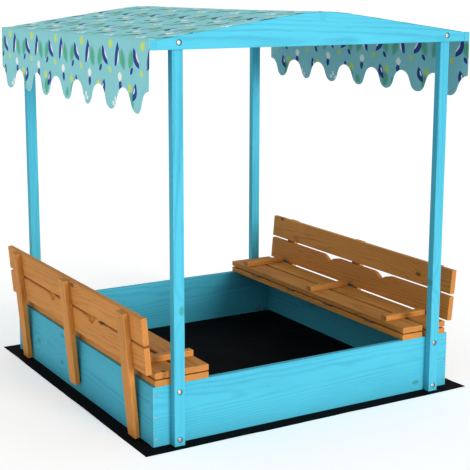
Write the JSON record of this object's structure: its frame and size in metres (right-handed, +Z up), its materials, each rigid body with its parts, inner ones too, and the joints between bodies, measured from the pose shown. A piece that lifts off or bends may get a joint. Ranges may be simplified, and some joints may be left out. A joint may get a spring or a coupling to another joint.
{
  "type": "sandbox with cover",
  "caption": "Low square wooden sand box with a folding lid that opens into two facing benches, and a scalloped fabric canopy on four posts over a curved gable roof frame.",
  "frame": {"origin": "middle of the ground sheet's underside, on the ground", "axes": "+Z up, +X towards the right bench, +Y towards the rear, the front panel faces -Y"},
  "size_m": [1.3156, 1.306, 1.3641],
  "materials": {
    "blue_wood": "opaque blue stain with the grain showing through",
    "brown_wood": "warm brown stain, satin",
    "canopy_fabric": null,
    "ground_cloth": "black woven ground cloth",
    "zinc_fasteners": "yellow zinc plated, dull",
    "hinge_steel": "zinc plated"
  },
  "bodies": {
    "root": {"canopy": "canopy_fabric", "corner_screws": "zinc_fasteners", "deck_screws": "zinc_fasteners", "front_gable": "blue_wood", "front_left_post": "blue_wood", "front_panel": "blue_wood", "front_right_post": "blue_wood", "gable_bolts": "zinc_fasteners", "gable_nuts": "zinc_fasteners", "ground_sheet": "ground_cloth", "left_deck_inner_board": "brown_wood", "left_deck_leaves": "hinge_steel", "left_deck_outer_board": "brown_wood", "left_eave_rail": "blue_wood", "left_panel": "blue_wood", "post_bolts": "zinc_fasteners", "post_nuts": "zinc_fasteners", "rail_screws": "zinc_fasteners", "rear_gable": "blue_wood", "rear_left_post": "blue_wood", "rear_panel": "blue_wood", "rear_right_post": "blue_wood", "ridge_beam": "blue_wood", "right_deck_inner_board": "brown_wood", "right_deck_leaves": "hinge_steel", "right_deck_outer_board": "brown_wood", "right_eave_rail": "blue_wood", "right_panel": "blue_wood"},
    "left_seat": {"left_hinge_pins": "hinge_steel", "left_seat_front_batten": "brown_wood", "left_seat_inner_board": "brown_wood", "left_seat_inner_leaves": "hinge_steel", "left_seat_middle_batten": "brown_wood", "left_seat_outer_board": "brown_wood", "left_seat_outer_leaves": "hinge_steel", "left_seat_rear_batten": "brown_wood", "left_seat_screws": "zinc_fasteners"},
    "left_backrest": {"left_back_front_batten": "brown_wood", "left_back_leaves": "hinge_steel", "left_back_lower_board": "brown_wood", "left_back_middle_batten": "brown_wood", "left_back_rear_batten": "brown_wood", "left_back_screws": "zinc_fasteners", "left_back_upper_board": "brown_wood"},
    "right_seat": {"right_hinge_pins": "hinge_steel", "right_seat_front_batten": "brown_wood", "right_seat_inner_board": "brown_wood", "right_seat_inner_leaves": "hinge_steel", "right_seat_middle_batten": "brown_wood", "right_seat_outer_board": "brown_wood", "right_seat_outer_leaves": "hinge_steel", "right_seat_rear_batten": "brown_wood", "right_seat_screws": "zinc_fasteners"},
    "right_backrest": {"right_back_front_batten": "brown_wood", "right_back_leaves": "hinge_steel", "right_back_lower_board": "brown_wood", "right_back_middle_batten": "brown_wood", "right_back_rear_batten": "brown_wood", "right_back_screws": "zinc_fasteners", "right_back_upper_board": "brown_wood"}
  },
  "joints": [
    {"name": "left_seat_hinge", "type": "hinge", "parent": "root", "child": "left_seat", "pos_m": [-0.3948, 0, 0.2237], "axis": [0, 1, 0], "range_deg": [0, 180]},
    {"name": "left_backrest_hinge", "type": "hinge", "parent": "left_seat", "child": "left_backrest", "pos_m": [-0.5989, 0, 0.2488], "axis": [0, -1, 0], "range_deg": [0, 84.93]},
    {"name": "right_seat_hinge", "type": "hinge", "parent": "root", "child": "right_seat", "pos_m": [0.3948, 0, 0.2237], "axis": [0, -1, 0], "range_deg": [0, 180]},
    {"name": "right_backrest_hinge", "type": "hinge", "parent": "right_seat", "child": "right_backrest", "pos_m": [0.5989, 0, 0.2488], "axis": [0, 1, 0], "range_deg": [0, 84.93]}
  ],
  "couplings": [
    {"joint": "left_backrest_hinge", "follows": "left_seat_hinge", "ratio": 0.47186},
    {"joint": "right_backrest_hinge", "follows": "right_seat_hinge", "ratio": 0.47186}
  ]
}
